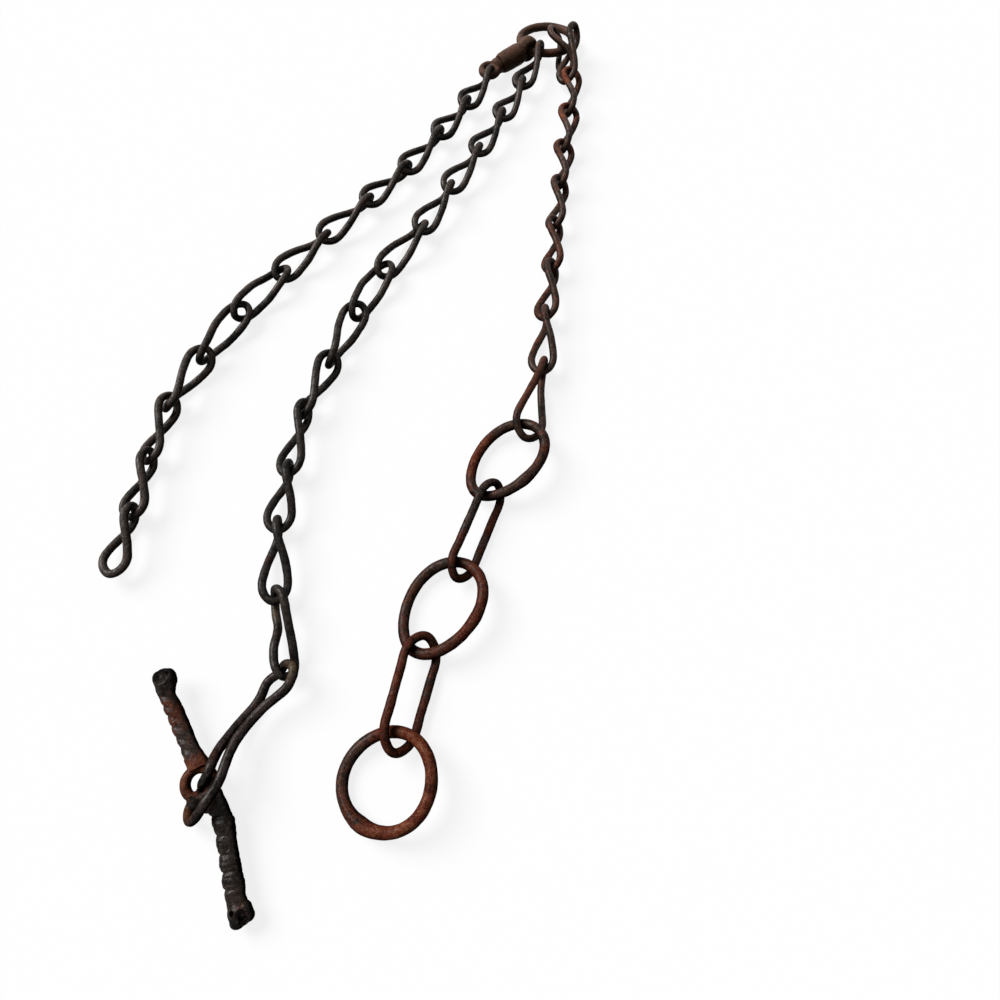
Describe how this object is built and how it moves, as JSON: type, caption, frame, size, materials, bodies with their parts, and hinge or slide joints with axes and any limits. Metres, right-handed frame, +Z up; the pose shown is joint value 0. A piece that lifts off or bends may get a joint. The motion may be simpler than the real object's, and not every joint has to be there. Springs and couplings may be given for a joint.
{
  "type": "cattle-tie chain",
  "caption": "Rusty old iron cattle-tie chain lying slack: strands of twisted wire links from a swivel ring, one ending in a toggle and one in large rings.",
  "frame": {"origin": "centre of the footprint on the surface that the chain lies on", "axes": "+Z up from the surface, +Y along the chain's length from the end ring and the toggle towards the swivel ring, +X to the right of that"},
  "size_m": [0.2814, 0.6304, 0.0271],
  "materials": {
    "dark_link_iron": "old rust burnished dark, finely pitted, with a soft worn sheen",
    "red_link_iron": "red-brown rust over dark pitted iron",
    "swivel_iron": "dark pitted iron with rust in the hollows",
    "ring_iron": "mottled orange-brown and dark rust, pitted, worn smooth where links rub",
    "oval_iron": "dark grey and red-brown rust, pitted",
    "long_link_iron": "brown-grey rust with a soft sheen",
    "toggle_iron": "hand-forged, brown with rust-red in the twist and darker, smoother knobs"
  },
  "bodies": {
    "root": {"swivel_ring": "swivel_iron", "swivel_barrel": "swivel_iron", "swivel_shank": "swivel_iron", "left_link_01": "dark_link_iron", "left_link_02": "dark_link_iron", "left_link_03": "dark_link_iron", "left_link_04": "dark_link_iron", "left_link_05": "dark_link_iron", "left_link_06": "dark_link_iron", "left_link_07": "dark_link_iron", "left_link_08": "dark_link_iron", "left_link_09": "dark_link_iron", "left_link_10": "dark_link_iron", "left_link_11": "dark_link_iron", "left_link_12": "dark_link_iron", "middle_link_01": "dark_link_iron", "middle_link_02": "dark_link_iron", "middle_link_03": "dark_link_iron", "middle_link_04": "dark_link_iron", "middle_link_05": "dark_link_iron", "middle_link_06": "dark_link_iron", "middle_link_07": "dark_link_iron", "middle_link_08": "dark_link_iron", "middle_link_09": "dark_link_iron", "middle_link_10": "dark_link_iron", "middle_link_11": "dark_link_iron", "middle_link_12": "dark_link_iron", "middle_link_13": "dark_link_iron", "long_link": "long_link_iron", "toggle": "toggle_iron", "right_link_01": "red_link_iron", "right_link_02": "red_link_iron", "right_link_03": "red_link_iron", "right_link_04": "red_link_iron", "right_link_05": "red_link_iron", "right_link_06": "red_link_iron", "right_link_07": "red_link_iron", "right_link_08": "red_link_iron", "right_link_09": "red_link_iron", "right_link_10": "red_link_iron", "ring_1": "ring_iron", "oval_1": "oval_iron", "ring_2": "ring_iron", "oval_2": "oval_iron", "ring_3": "ring_iron"}
  },
  "joints": []
}
